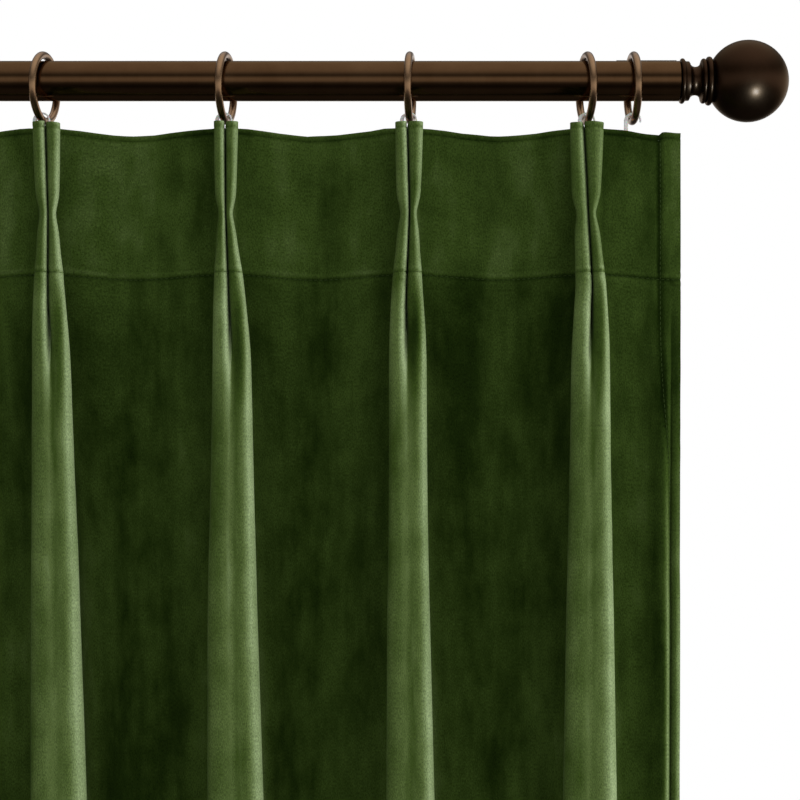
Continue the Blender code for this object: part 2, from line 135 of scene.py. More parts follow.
class Nodes:
    """A small helper for writing node trees."""

    def __init__(self, name):
        self.material = bpy.data.materials.new(name)
        self.material.use_nodes = True
        self.tree = self.material.node_tree
        self.shader = self.tree.nodes["Principled BSDF"]

    def add(self, kind, **settings):
        node = self.tree.nodes.new(kind)
        for key, value in settings.items():
            if key in node.inputs:
                node.inputs[key].default_value = value
            else:
                setattr(node, key, value)
        return node

    def link(self, source, target):
        self.tree.links.new(source, target)

    def coordinates(self, scale, uv=False):
        source = self.add("ShaderNodeTexCoord").outputs["UV" if uv else "Object"]
        mapping = self.add("ShaderNodeMapping")
        mapping.inputs["Scale"].default_value = scale
        self.link(source, mapping.inputs["Vector"])
        return mapping.outputs["Vector"]

    def noise(self, vector, scale, detail=3.0, roughness=0.55):
        node = self.add("ShaderNodeTexNoise", Scale=scale, Detail=detail, Roughness=roughness)
        self.link(vector, node.inputs["Vector"])
        return node.outputs["Fac"]

    def ramp(self, factor, stops):
        node = self.add("ShaderNodeValToRGB")
        elements = node.color_ramp.elements
        while len(elements) < len(stops):
            elements.new(0.5)
        for element, (place, colour) in zip(elements, stops):
            element.position = place
            element.color = (*colour, 1)
        self.link(factor, node.inputs["Fac"])
        return node.outputs["Color"]

    def math(self, operation, a, b):
        node = self.add("ShaderNodeMath", operation=operation)
        for socket, value in zip(node.inputs, (a, b)):
            if isinstance(value, (int, float)):
                socket.default_value = value
            else:
                self.link(value, socket)
        return node.outputs[0]

    def multiply(self, a, b):
        """One colour times another."""
        node = self.add("ShaderNodeMix", data_type="RGBA", blend_type="MULTIPLY")
        node.inputs[0].default_value = 1.0
        self.link(a, node.inputs[6])
        self.link(b, node.inputs[7])
        return node.outputs[2]

    def bump(self, height, strength, distance):
        node = self.add("ShaderNodeBump", Strength=strength, Distance=distance)
        self.link(height, node.inputs["Height"])
        self.link(node.outputs["Normal"], self.shader.inputs["Normal"])

    def grey(self, factor, low, high, start=0.3, end=0.7):
        return self.ramp(factor, [(start, (low,) * 3), (end, (high,) * 3)])

    def weighted(self, base, *parts):
        """The base plus each value times its weight."""
        total = base
        for value, weight in parts:
            total = self.math("ADD", total, self.math("MULTIPLY", value, weight))
        return total


def velvet_material(name, tones):
    """Short-pile velvet, its colour carrying painted light and shade.

    The mesh's crest attribute gives painted shade in the valleys and painted light on the noses of
    the folds. Cloth on the noses that faces the side lamp gets more painted light still.
    """
    mat = Nodes(name)
    clouds = mat.noise(mat.coordinates((1, 0.4, 1), uv=True), 16, 3, 0.6)
    brushed = mat.noise(mat.coordinates((1, 0.5, 1), uv=True), 56, 5, 0.62)
    streaks = mat.noise(mat.coordinates((1, 0.13, 1), uv=True), 34, 4, 0.6)
    pile = mat.noise(mat.coordinates((1, 0.45, 1), uv=True), 1300, 3, 0.7)
    # The crest attribute carries painted shade in the valleys and painted light on the noses
    crest = mat.add("ShaderNodeAttribute", attribute_name="crest").outputs["Fac"]
    normal = mat.add("ShaderNodeNewGeometry").outputs["Normal"]
    lean = mat.add("ShaderNodeVectorMath", operation="DOT_PRODUCT")
    lean.inputs[1].default_value = LIT_SIDE_DIRECTION
    mat.link(normal, lean.inputs[0])
    # Painted light on surfaces facing the side lamp, strongest on the noses
    lit_side = mat.grey(lean.outputs["Value"], 0.0, 1.0, 0.26, 0.8)
    lit_side = mat.math("MULTIPLY", lit_side, mat.grey(crest, 0.2, 1.0, 0.45, 0.78))
    share = mat.weighted(0.06, (crest, 0.42), (lit_side, 0.5))
    for field, weight in ((clouds, 0.22), (brushed, 0.42), (streaks, 0.5)):
        share = mat.math("ADD", share, mat.weighted(-0.5 * weight, (field, weight)))
    colour = mat.ramp(share, tones)
    colour = mat.multiply(colour, mat.grey(pile, 0.5, 1.42))
    mat.link(colour, mat.shader.inputs["Base Color"])
    mat.shader.inputs["Roughness"].default_value = 0.95
    mat.shader.inputs["Specular IOR Level"].default_value = 0.0
    mat.shader.inputs["Sheen Weight"].default_value = 0.06
    mat.shader.inputs["Sheen Roughness"].default_value = 0.26
    mat.shader.inputs["Sheen Tint"].default_value = (0.68, 0.92, 0.5, 1)
    height = mat.weighted(0.0, (pile, 0.35), (brushed, 1.0), (clouds, 0.8))
    mat.bump(height, 0.6, 0.8 * MM)
    return mat.material


def woven_material(name, colour, pitch, sheen=0.1):
    """A plain matte weave, for the panel's back, the heading strip and the thread."""
    mat = Nodes(name)
    cloth = mat.coordinates((1, 1, 1))
    threads = []
    for direction in ("X", "Z"):
        wave = mat.add("ShaderNodeTexWave", bands_direction=direction, Scale=0.16 / pitch,
                       Distortion=0.6, Detail=1.0)
        mat.link(cloth, wave.inputs["Vector"])
        threads.append(wave.outputs["Fac"])
    weave = mat.math("MULTIPLY", *threads)
    cloud = mat.noise(cloth, 30, 3)
    tone = mat.math("ADD", mat.math("MULTIPLY", weave, 0.5), mat.math("MULTIPLY", cloud, 0.6))
    dark = tuple(0.62 * c for c in colour)
    mat.link(mat.ramp(tone, [(0.15, dark), (0.85, colour)]), mat.shader.inputs["Base Color"])
    mat.shader.inputs["Roughness"].default_value = 0.9
    mat.shader.inputs["Specular IOR Level"].default_value = 0.2
    mat.shader.inputs["Sheen Weight"].default_value = sheen
    mat.bump(weave, 0.3, 0.2 * MM)
    return mat.material


def metal_material(name, dark, light, roughness, brushed=(1, 1, 1), coat=0.0, rim=(1, 1, 1)):
    """Coated bronze: a patchy brown film, fine brushing and small changes in gloss."""
    mat = Nodes(name)
    patches = mat.noise(mat.coordinates((1, 1, 1)), 38, 5, 0.6)
    grain = mat.noise(mat.coordinates(brushed), 900, 2, 0.6)
    tone = mat.math("ADD", mat.math("MULTIPLY", patches, 0.75), mat.math("MULTIPLY", grain, 0.25))
    mat.link(mat.ramp(tone, [(0.32, dark), (0.68, light)]), mat.shader.inputs["Base Color"])
    gloss = mat.grey(tone, roughness * 0.85, roughness * 1.25)
    mat.link(gloss, mat.shader.inputs["Roughness"])
    mat.shader.inputs["Metallic"].default_value = 1.0
    mat.shader.inputs["Specular Tint"].default_value = (*rim, 1)
    mat.shader.inputs["Coat Weight"].default_value = coat
    mat.shader.inputs["Coat Roughness"].default_value = 0.22
    mat.bump(grain, 0.06, 0.1 * MM)
    return mat.material


def plastic_material(name):
    mat = Nodes(name)
    cloud = mat.noise(mat.coordinates((1, 1, 1)), 160, 2)
    mat.link(mat.ramp(cloud, [(0.3, (0.76, 0.75, 0.71)), (0.7, (0.86, 0.85, 0.81))]),
             mat.shader.inputs["Base Color"])
    mat.shader.inputs["Roughness"].default_value = 0.3
    mat.shader.inputs["Subsurface Weight"].default_value = 0.35
    mat.shader.inputs["Subsurface Scale"].default_value = 1.5 * MM
    mat.bump(mat.noise(mat.coordinates((1, 1, 1)), 700, 2), 0.08, 0.1 * MM)
    return mat.material


# Meshes

def new_piece(name, mesh, mats):
    obj = bpy.data.objects.new(name, mesh)
    for mat in mats:
        mesh.materials.append(mat)
    bpy.context.scene.collection.objects.link(obj)
    return obj


def shade(mesh):
    """Smooth, with edges of more than 40 degrees left sharp."""
    mesh.shade_smooth()
    mesh.set_sharp_from_angle(angle=math.radians(40))


def arc(centre, radius, start, end, steps):
    """Points (u, v) of an arc, angles in degrees from +u towards +v."""
    turns = np.radians(np.linspace(start, end, steps + 1))
    return [(centre[0] + radius * math.cos(t), centre[1] + radius * math.sin(t)) for t in turns]


def lathe_mesh(name, profile, steps=96):
    """Turns (radius, height) points about Z; ends at radius 0 are closed to a pole."""
    mesh = bpy.data.meshes.new(name)
    work = bmesh.new()
    verts = [work.verts.new((r, 0, h)) for r, h in profile]
    edges = [work.edges.new(pair) for pair in zip(verts, verts[1:])]
    bmesh.ops.spin(work, geom=verts + edges, cent=(0, 0, 0), axis=(0, 0, 1),
                   angle=2 * math.pi, steps=steps, use_merge=True)
    bmesh.ops.remove_doubles(work, verts=work.verts, dist=1e-6)
    bmesh.ops.recalc_face_normals(work, faces=work.faces)
    work.to_mesh(mesh)
    work.free()
    shade(mesh)
    return mesh


def grid_faces(rows, columns):
    index = np.arange(rows * columns).reshape(rows, columns)
    quads = np.stack([index[:-1, :-1], index[1:, :-1], index[1:, 1:], index[:-1, 1:]], axis=-1)
    return quads.reshape(-1, 4)


# Rod, finials and brackets

def bead(radius, centre, half_width, steps=8):
    """Profile points of a rounded bead, down the outer side."""
    return [
        (radius - half_width + half_width * math.cos(t), centre + half_width * math.sin(t))
        for t in np.linspace(math.radians(85), math.radians(-85), steps + 1)
    ]


def make_rod(mat):
    wall, soft = 1.2 * MM, 0.3 * MM
    half = ROD_HALF
    profile = [(ROD_RADIUS - wall, half), (ROD_RADIUS - soft, half), (ROD_RADIUS, half - soft)]
    profile += [(ROD_RADIUS, h) for h in np.linspace(half - 2 * soft, -half + 2 * soft, 12)]
    profile += [(r, -h) for r, h in reversed(profile[:3])]
    profile += [(ROD_RADIUS - wall, half)]
    piece = new_piece("rod", lathe_mesh("rod", profile, 128), [mat])
    piece.matrix_world = Matrix.Translation((0, ROD_Y, ROD_Z)) @ Matrix.Rotation(
        math.radians(90), 4, "Y")
    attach(piece, FIXED_BODY)
    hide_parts("rod_tube")


FINIAL_GAP = 0.3 * MM           # between the rod, the neck and the ball
NECK_LENGTH = 23.4 * MM
STUD_BORE = 4.3 * MM
BORE_DEPTH = 36.3 * MM
BALL_FLAT = 15.2 * MM
BALL_RADIUS = (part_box("finial_ball_right")[1][2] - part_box("finial_ball_right")[0][2]) / 2
BALL_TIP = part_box("finial_ball_right")[1][0] - ROD_HALF


def neck_profile():
    """Two base beads, a deep cove and two collar beads."""
    profile = [(STUD_BORE, NECK_LENGTH), (14.6 * MM, NECK_LENGTH), (15.0 * MM, 23.0 * MM)]
    profile += bead(17.05 * MM, 20.75 * MM, 1.95 * MM, 10)
    profile += [(15.0 * MM, 18.65 * MM)]
    profile += bead(15.7 * MM, 16.9 * MM, 1.55 * MM, 8)
    profile += [(13.9 * MM, 15.2 * MM)]
    profile += [
        (9.9 * MM + 3.7 * MM * (1 - math.sqrt(1 - (t / 1.02) ** 2)), 11.1 * MM - t * 3.9 * MM)
        for t in np.linspace(-1, 1, 19)
    ]
    profile += [(13.7 * MM, 6.6 * MM), (13.8 * MM, 4.4 * MM), (14.3 * MM, 3.8 * MM)]
    profile += bead(15.8 * MM, 2.1 * MM, 1.5 * MM, 8)
    return profile + [(STUD_BORE, FINIAL_GAP), (STUD_BORE, NECK_LENGTH)]


def ball_profile():
    centre = BALL_TIP - BALL_RADIUS
    face = NECK_LENGTH + FINIAL_GAP
    flat_angle = math.degrees(math.asin(BALL_FLAT / BALL_RADIUS)) - 90
    outer = arc((0, centre), BALL_RADIUS, 90, flat_angle, 48)
    outer[0] = (0, BALL_TIP)
    return outer + [(STUD_BORE, face), (STUD_BORE, BORE_DEPTH), (0, BORE_DEPTH)]


def make_finial(side, sign, mat):
    pieces = []
    for part, profile in (("neck", neck_profile()), ("ball", ball_profile())):
        node = f"finial_{part}_{side}"
        piece = new_piece(f"turned_{part}_{side}", lathe_mesh(node, profile, 96), [mat])
        piece.matrix_world = Matrix.Translation((sign * ROD_HALF, ROD_Y, ROD_Z)) @ Matrix.Rotation(
            sign * math.radians(90), 4, "Y")
        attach(piece, BODY_OF[node])
        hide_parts(node)
        pieces.append(piece)
    return pieces


def dress_frame(mats):
    """Gives the frame's own shapes that stay their procedural materials."""
    for name, obj in frame["nodes"].items():
        if name.startswith(("wall_plate", "bracket_arm", "bracket_saddle")):
            finish = mats["bracket"]
        elif name.startswith(("clamp_nut", "bracket_stud", "rod_end_plug", "finial_stud")):
            finish = mats["steel"]
        else:
            continue
        obj.data.materials.clear()
        obj.data.materials.append(finish)


# Rings and hooks

def node_points(name):
    return np.array([v.co[:] for v in frame["nodes"][name].data.vertices])


def ring_pose(name):
    """Centre, turn about Z, bore radius and wire radius of a ring, from its frame mesh."""
    points = node_points(name)
    low, high = points.min(0), points.max(0)
    centre = (low + high) / 2
    flat = points[:, :2] - centre[:2]
    axis = np.linalg.eigh(flat.T @ flat)[1][:, 0]
    axis = axis if axis[0] > 0 else -axis
    wire = np.abs(flat @ axis).max()
    outer = (high[2] - low[2]) / 2
    return centre, math.atan2(axis[1], axis[0]), outer - wire, wire


def ring_mesh(radius, wire, major=112, minor=28):
    mesh = bpy.data.meshes.new("curtain_ring")
    work = bmesh.new()
    spin = [Matrix.Rotation(2 * math.pi * i / major, 4, "X") for i in range(major)]
    loops = [
        [
            work.verts.new(m @ Vector((wire * math.sin(a), 0, radius + wire * math.cos(a))))
            for a in np.linspace(0, 2 * math.pi, minor, endpoint=False)
        ]
        for m in spin
    ]
    for i in range(major):
        here, there = loops[i], loops[(i + 1) % major]
        for j in range(minor):
            k = (j + 1) % minor
            work.faces.new((here[j], here[k], there[k], there[j]))
    bmesh.ops.recalc_face_normals(work, faces=work.faces)
    work.to_mesh(mesh)
    work.free()
    mesh.shade_smooth()
    return mesh


def make_rings(mat):
    for name in RINGS:
        centre, turn, radius, wire = ring_pose(name)
        piece = new_piece(f"curtain_{name}", ring_mesh(radius, wire), [mat])
        piece.matrix_world = Matrix.Translation(centre) @ Matrix.Rotation(turn, 4, "Z")
        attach(piece, BODY_OF[name])
        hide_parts(name)


def make_hooks(mat):
    """Each hook keeps its frame shape, with rounded edges."""
    for name in HOOKS:
        source = frame["nodes"][name]
        mesh = source.data.copy()
        mesh.materials.clear()
        work = bmesh.new()
        work.from_mesh(mesh)
        bmesh.ops.remove_doubles(work, verts=work.verts, dist=1e-5)
        bmesh.ops.dissolve_limit(work, angle_limit=math.radians(2), verts=work.verts,
                                 edges=work.edges)
        sharp = [e for e in work.edges if e.is_manifold and e.calc_face_angle() > math.radians(25)]
        bmesh.ops.bevel(work, geom=sharp, offset=0.35 * MM, segments=3, affect="EDGES",
                        clamp_overlap=True)
        work.to_mesh(mesh)
        work.free()
        shade(mesh)
        piece = new_piece(f"plastic_{name}", mesh, [mat])
        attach(piece, BODY_OF[name])
        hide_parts(name)


# Curtain

# The fold's shape at each drop below the top edge, in millimetres: half-width of the pleat,
# depth of the groove between its fingers, half-width at its root, how far the nose stands in
# front of the heading, and how far the valley lies behind it.
FOLD_LEVELS = np.array([
    (0, 8.2, 33, 2.2, 36, 0),
    (30, 7.6, 33, 2.2, 35, 0),
    (50, 6.9, 32, 2.2, 34, 0),
    (62, 4.2, 32, 2.2, 33, 0),
    (74, 6.2, 32, 2.2, 34, 0),
    (90, 7.6, 31, 2.3, 35, 0),
    (102, 9.0, 30, 2.5, 36, 0.5),
    (125, 10.6, 21, 3.0, 37, 4),
    (145, 11.8, 10, 3.6, 38, 9),
    (165, 12.4, 2.5, 4.2, 38.5, 14),
    (190, 12.7, 0.5, 4.8, 38.5, 19),
    (240, 13.4, 0, 5.8, 39, 25),
    (300, 14.6, 0, 6.8, 39, 30),
    (340, 15.5, 0, 7.4, 39.5, 32),
    (470, 17.6, 0, 8.2, 40, 34),
    (800, 18.6, 0, 8.6, 40, 35),
    (1400, 19.2, 0, 9.0, 40, 35),
    (2200, 20, 0, 9.5, 40, 35),
]) * MM

# How each fold differs: how far its nose stands to one side at each of these drops, its width
# in the heading and lower down, and where the groove between its fingers lies
SHIFT_LEVELS = np.array((0, 62, 112, 158, 340, 480, 2200)) * MM
FOLD_SHIFT = np.array([
    (2, 1.5, 0, -2, -5, -6, -4),
    (-3, -2, 0, 2, 4, 4, 7),
    (1.5, 2, 3, 4, 6, 8, 3),
    (-2, -2.5, -3, -4, -5, -5, -1),
    (3, 2.5, 1, 0, 2, 3, 6),
    (-1.5, -1, -2, -3, -4, -4, -7),
    (8.5, 9, 10.5, 11.9, 14.3, 17, 20),
    (3.6, 2.8, 5.7, 7.5, 7.7, 10.1, 9),
    (1.1, 0.3, -0.4, 0, 0.5, 2, 6),
    (-5.1, -6.1, -2.7, -2.8, -3, -3, 2),
]) * MM
HEADING_WIDTH = (1.0, 1.12, 0.95, 1.2, 0.98, 1.1, 1.07, 0.93, 1.08, 1.32)
FOLD_WIDTH = (1.0, 1.1, 0.95, 1.08, 0.95, 1.1, 1.04, 1.05, 0.9, 1.0)
FINGER_SHIFT = np.array([
    (0.8, -0.5, 0.4),
    (-1.2, 0.8, -1.5),
    (0.6, -1.0, 1.2),
    (1.8, -1.2, -0.8),
    (-0.8, 0.6, 1.4),
    (0.5, 1.1, -1.0),
    (-0.6, 0.5, -1.2),
    (-0.7, 0.4, -0.6),
    (-1.4, 1.2, -1.0),
    (-2.8, 2.2, 1.2),
]) * MM
FINGER_LEVELS = (0, 62 * MM, 125 * MM)

# Below the heading each side edge rolls forward into a ridge with a narrow crack outside it
EDGE_RIDGE = 9.2 * MM
EDGE_CRACK = 6.6 * MM

# Painted light of the pile (1 the lightest) at each distance in front of the heading: painted shade
# in the valleys, painted light on the noses
CREST_LEVELS = (np.array((-40, -10, 0, 15, 39)) * MM, (0.34, 0.33, 0.36, 0.58, 0.86))


def row_drops():
    """Levels of the grid's rows: close together at the seams, wide apart between them."""
    hem_line = LENGTH - HEM
    return np.concatenate([
        np.arange(0, 12, 1.2) * MM,
        np.arange(12, 96, 3.5) * MM,
        HEADING + np.arange(-6, 7.2, 1.2) * MM,
        np.arange(110, 330, 5.5) * MM,
        np.linspace(0.332, hem_line - 0.012, 62),
        hem_line + np.arange(-9, 10, 1.5) * MM,
        np.linspace(hem_line + 0.018, LENGTH, 9),
    ])


def fold_values(drops):
    """The fold levels, read at each row and smoothed so that no level shows as a crease."""
    fine = np.arange(-0.03, LENGTH + 0.03, 1 * MM)
    kernel = np.hanning(13)
    kernel /= kernel.sum()
    values = []
    for column in range(1, FOLD_LEVELS.shape[1]):
        line = np.interp(fine, FOLD_LEVELS[:, 0], FOLD_LEVELS[:, column])
        values.append(np.interp(drops, fine, np.convolve(line, kernel, mode="same")))
    return values


def half_pleat(w, groove, root, nose, valley, loose):
    """Control points (offset, forward) of half a pleat, from its flat to its middle.

    Loose runs from 0, pinched in the heading, to 1, hanging free.
    """
    height = nose + valley
    flank = w - root
    wall = 1.1 * MM

    def blend(pinched, hanging):
        return pinched * (1 - loose) + hanging * loose

    return [
        (root + 22 * MM, -valley),
        (root + blend(4.5 * MM, 12 * MM), -valley),
        (root + blend(0.4 * MM, 2.5 * MM), blend(0.8 * MM, 3 * MM) - valley),
        (root + blend(0, 0.06 * flank), 0.32 * height - valley),
        (root + blend(0.4, 0.62) * flank, blend(0.62, 0.66) * height - valley),
        (blend(0.97, 0.98) * w, nose - blend(7 * MM, 0.75 * w)),
        (blend(1.05, 1.04) * w, nose - blend(2.2 * MM, 0.4 * w)),
        (blend(0.86, 0.85) * w, nose + blend(0.7 * MM, -0.04 * w)),
        (blend(0.3, 0.55) * w, nose + blend(0.7 * MM, 0.04 * w)),
        (blend(wall, 0.35 * w), nose + blend(-1.2 * MM, 0.04 * w - 0.05 * groove)),
        (blend(0.9 * wall, 0.2 * w), nose + blend(-0.3 * groove, 0.04 * w - 0.5 * groove)),
        (blend(0.9 * wall, 0.08 * w), nose + blend(-0.85 * groove, 0.03 * w - 0.92 * groove)),
    ]


def fold_width(k, w, drops, wander):
    """Half-width of one pleat at every row."""
    heading = HEADING_WIDTH[k] + (1 - HEADING_WIDTH[k]) * smoothstep(0.06, 0.115, drops)
    return w * (heading + (FOLD_WIDTH[k] - 1) * wander)


def control_points(drops):
    """Control polygon of every row, shape (rows, points, 2), from left edge to right edge."""
    w, groove, root, nose, valley = fold_values(drops)
    loose = smoothstep(0.105, 0.19, drops)
    low = smoothstep(0.10, 0.30, drops)
    wander = smoothstep(0.11, 0.30, drops)
    line = []

    def put(x, forward):
        line.append(np.stack([x + 0 * drops, forward + 0 * drops], axis=-1))

    edge_valley = 0.32 * valley
    ends = [(0, -5 * MM * low), (2.8 * MM, -3.5 * MM * low), (5.4 * MM, -4.5 * MM * low),
            (EDGE_CRACK, -9 * MM * low), (7.6 * MM, -3 * MM * low), (EDGE_RIDGE, 3.5 * MM * low),
            (12.5 * MM, 4.5 * MM * low), (17 * MM, 0.5 * MM * low), (23 * MM, -edge_valley * 0.8),
            (31 * MM, -edge_valley)]
    for inset, forward in ends:
        put(-EDGE + inset, forward)
    for k in range(PLEAT_COUNT):
        shift = np.interp(drops, SHIFT_LEVELS, FOLD_SHIFT[k])
        shift += np.sin((drops - 0.5) * (2.1 + 0.37 * k)) * 2 * MM * smoothstep(0.5, 0.9, drops)
        root_middle = FIRST_PLEAT + k * PLEAT_PITCH + shift * wander
        width = fold_width(k, w, drops, wander)
        inner = np.interp(drops, FINGER_LEVELS, FINGER_SHIFT[k]) * (1 - loose)
        lean = shift * (1 - wander)
        for sign in (-1, 1):
            outside = (k == 0 and sign < 0) or (k == PLEAT_COUNT - 1 and sign > 0)
            depth = edge_valley if outside else valley
            half = half_pleat(width, groove, root, nose, depth, loose)
            if sign > 0:
                put(root_middle + lean + inner, half[-1][1] - 0.06 * groove)
                half = half[::-1]
            for u, d in half:
                share = np.clip(1 - u / (width + 1 * MM), 0, 1)
                tilt = smoothstep(0.0, 1.0, (d + depth) / (nose + depth))
                put(root_middle + sign * u + inner * share + lean * tilt, d)
        if k < PLEAT_COUNT - 1:
            gap = FIRST_PLEAT + (k + 0.5) * PLEAT_PITCH
            for beside in (-12 * MM, 0, 12 * MM):
                put(gap + beside, -valley)
    for inset, forward in reversed(ends):
        put(EDGE - inset, forward)
    return np.stack(line, axis=1)


def spline_columns(control, per_span=2):
    """Samples a uniform cubic B-spline through each row's control points."""
    padded = np.concatenate([control[:, :1]] * 2 + [control] + [control[:, -1:]] * 2, axis=1)
    spans = padded.shape[1] - 3
    t = np.linspace(0, spans, spans * per_span + 1)
    i = np.minimum(t.astype(int), spans - 1)
    f = t - i
    weights = np.stack([
        (1 - f) ** 3,
        3 * f**3 - 6 * f**2 + 4,
        -3 * f**3 + 3 * f**2 + 3 * f + 1,
        f**3,
    ]) / 6
    return sum(weights[j][None, :, None] * padded[:, i + j] for j in range(4))


def flat_distance(section):
    """Distance along the cloth from its left edge, at each point of each row."""
    steps = np.linalg.norm(np.diff(section, axis=1), axis=2)
    return np.concatenate([np.zeros((len(section), 1)), np.cumsum(steps, axis=1)], axis=1)


def top_sag(x):
    phase = (x - FIRST_PLEAT) / PLEAT_PITCH * 2 * math.pi
    return 5.8 * MM * (1 - np.cos(phase)) / 2


def right_half(x, drops):
    """1 to the right of each pleat's middle, less at its rim, and 0 to its left."""
    shifts = np.stack([np.interp(drops, SHIFT_LEVELS, row) for row in FOLD_SHIFT], axis=1)
    nearest = np.clip(np.rint((x - FIRST_PLEAT) / PLEAT_PITCH), 0, PLEAT_COUNT - 1).astype(int)
    middle = FIRST_PLEAT + nearest * PLEAT_PITCH + np.take_along_axis(shifts, nearest, axis=1)
    offset = x - middle
    return smoothstep(-3 * MM, 5 * MM, offset) * (1 - 0.6 * smoothstep(6 * MM, 11 * MM, offset))


def seam_dip(distance, width):
    return np.exp(-((distance / width) ** 2))


@np.vectorize
def cloth_noise(across, down, layer):
    return noise.noise(Vector((across, down, layer)))


def ripples(along, drop, low):
    """How far the cloth stands forward of its folds: long streaks, waves and a puckered seam."""
    streaks = cloth_noise(along * 38, drop * 1.6, 0.0) * (0.5 * MM + 1.6 * MM * low)
    waves = cloth_noise(along * 11, drop * 3.2, 7.0) * (0.8 * MM + 2.2 * MM * low)
    beside_seam = seam_dip(drop - HEADING, 14 * MM)
    return streaks + waves + cloth_noise(along * 150, drop * 30, 3.0) * 0.9 * MM * beside_seam


def painted_light_and_shade(x, forward, drop, drops, side_hem, low):
    """Painted light and shade of the pile at each point: the material's crest attribute."""
    heading = 1 - smoothstep(HEADING - 1 * MM, HEADING + 1 * MM, drop)
    on_nose = smoothstep(12 * MM, 30 * MM, forward)
    inset = EDGE - np.abs(x)
    # Painted shade in the valleys and painted light on the noses; the heading's flats are a little
    # lighter
    crest = np.interp(forward, *CREST_LEVELS) + 0.17 * heading * (1 - on_nose)

    # Below the heading a pleat's left finger gets painted light and its right one painted shade,
    # lighter at its rim
    finger_shading = smoothstep(HEADING, 0.13, drop) * (1 - smoothstep(0.155, 0.215, drop))
    crest += finger_shading * on_nose * (0.34 - 0.78 * right_half(x, drops))

    # Painted shade on the heading's flat ends, which the side lamp reaches; in the valleys, painted
    # light beside the pleats and painted shade between them
    crest -= 0.28 * heading * (1 - smoothstep(45 * MM, 80 * MM, inset))
    beside_nose = 0.6 + np.cos((x - FIRST_PLEAT) / PLEAT_PITCH * 2 * math.pi)
    crest += 0.16 * low * beside_nose * (1 - on_nose)

    # Side edges: a lighter strip, then painted shade in a crack and a painted highlight on the
    # ridge beside it
    crest += (0.3 * heading + 0.55 * low) * (inset < EDGE_CRACK + 7 * MM * heading)
    crest += low * 0.42 * seam_dip(inset - EDGE_RIDGE, 2.6 * MM)
    crest -= low * 0.4 * seam_dip(inset - EDGE_CRACK, 0.8 * MM)

    # Seams get painted shade in their creases, with a lighter line above the heading's
    crest += 0.14 * seam_dip(drop - HEADING + 3 * MM, 1.4 * MM)
    for line, width in ((drop - HEADING, 1.2), (drop - TOP_SEAM, 1.3), (side_hem, 1.8),
                        (drop - (LENGTH - HEM), 2.2)):
        crest -= 0.34 * seam_dip(line, width * MM) * (1 - 0.6 * on_nose)
    return crest


def panel_points():
    """Points of the panel, shape (rows, columns, 3), and the cloth's own coordinates."""
    drops = row_drops()
    section = spline_columns(control_points(drops))
    along = flat_distance(section)
    x, forward = section[..., 0], section[..., 1].copy()
    drop = np.broadcast_to(drops[:, None], x.shape)
    total = along[:, -1:]
    side_hem = SIDE_HEM - np.minimum(along, total - along)
    low = smoothstep(0.12, 0.45, drops)[:, None]

    # Seams pull the cloth in a little; the doubled side hem stands forward
    forward -= 1.4 * MM * seam_dip(drop - HEADING, 1.2 * MM)
    forward -= 1.0 * MM * seam_dip(drop - TOP_SEAM, 1.0 * MM)
    forward -= (0.8 + 0.8 * low) * MM * seam_dip(side_hem, 1.3 * MM)
    forward -= 0.9 * MM * seam_dip(drop - (LENGTH - HEM), 2.2 * MM)
    forward += 0.8 * MM * (side_hem > 0)
    forward += ripples(along, drop, low)

    # The top edge sags between the pleats, and the sag fades down the panel
    held = 1 - 0.35 * smoothstep(0, 0.11, drop) - 0.65 * smoothstep(0.11, 0.45, drop)
    rise = 2.2 * MM * smoothstep(-1 * MM, 2 * MM, side_hem)
    rise += 0.9 * MM * cloth_noise(along * 70, 0 * along, 11.0)
    rise -= 1.3 * MM * (1 - smoothstep(28 * MM, 35 * MM, forward)) * (forward > 5 * MM)
    z = TOP_Z - drop - top_sag(x) * held + rise * (1 - smoothstep(0, 0.02, drop))
    points = np.stack([x, HEADER_Y - forward, z], axis=-1)
    return points, along, drop, painted_light_and_shade(x, forward, drop, drops, side_hem, low)


def make_panel(mats):
    points, along, drop, crest = panel_points()
    rows, columns = along.shape
    mesh = bpy.data.meshes.new("velvet_panel")
    faces = grid_faces(rows, columns)
    mesh.from_pydata(points.reshape(-1, 3), [], faces)
    cloth_uv = mesh.uv_layers.new(name="cloth")
    corners = np.empty(len(mesh.loops), dtype=np.int32)
    mesh.loops.foreach_get("vertex_index", corners)
    across = np.broadcast_to(along.mean(axis=0), along.shape)
    flat = np.stack([across.ravel(), LENGTH - drop.ravel()], axis=-1)[corners]
    cloth_uv.data.foreach_set("uv", flat.ravel())
    # The crest attribute carries the velvet's painted light and shade
    fold_light = mesh.attributes.new("crest", "FLOAT", "POINT")
    fold_light.data.foreach_set("value", crest.ravel())
    mesh.shade_smooth()
    piece = new_piece("velvet_panel", mesh, [mats["velvet"], mats["velvet_back"]])
    thick = piece.modifiers.new("cloth", "SOLIDIFY")
    thick.thickness = CLOTH
    thick.offset = 0
    thick.material_offset = 1
    thick.material_offset_rim = 0
    apply_modifiers(piece)
    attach(piece, FIXED_BODY)
    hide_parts("curtain_panel")
    return piece, points, along


def surface_normals(points):
    normals = np.cross(np.gradient(points, axis=0), np.gradient(points, axis=1))
    return normals / np.linalg.norm(normals, axis=2, keepdims=True)


def add_stitch(work, start, end, outward):
    """One stitch: a thin thread that arches out of the cloth and back into it."""
    radius, rings = 0.28 * MM, 5
    forward = (end - start).normalized()
    side = forward.cross(outward).normalized()
    loops = []
    for share in np.linspace(0, 1, rings):
        rise = 0.3 * MM * math.sin(math.pi * share) - 0.08 * MM
        swell = radius * (0.35 + 0.65 * math.sin(math.pi * share) ** 0.5)
        centre = start.lerp(end, share) + outward * rise
        loops.append([
            work.verts.new(centre + swell * (math.cos(a) * side + math.sin(a) * outward))
            for a in np.linspace(0, 2 * math.pi, 6, endpoint=False)
        ])
    work.faces.new(reversed(loops[0]))
    work.faces.new(loops[-1])
    for here, there in zip(loops, loops[1:]):
        for i in range(6):
            work.faces.new((here[i], here[i - 1], there[i - 1], there[i]))


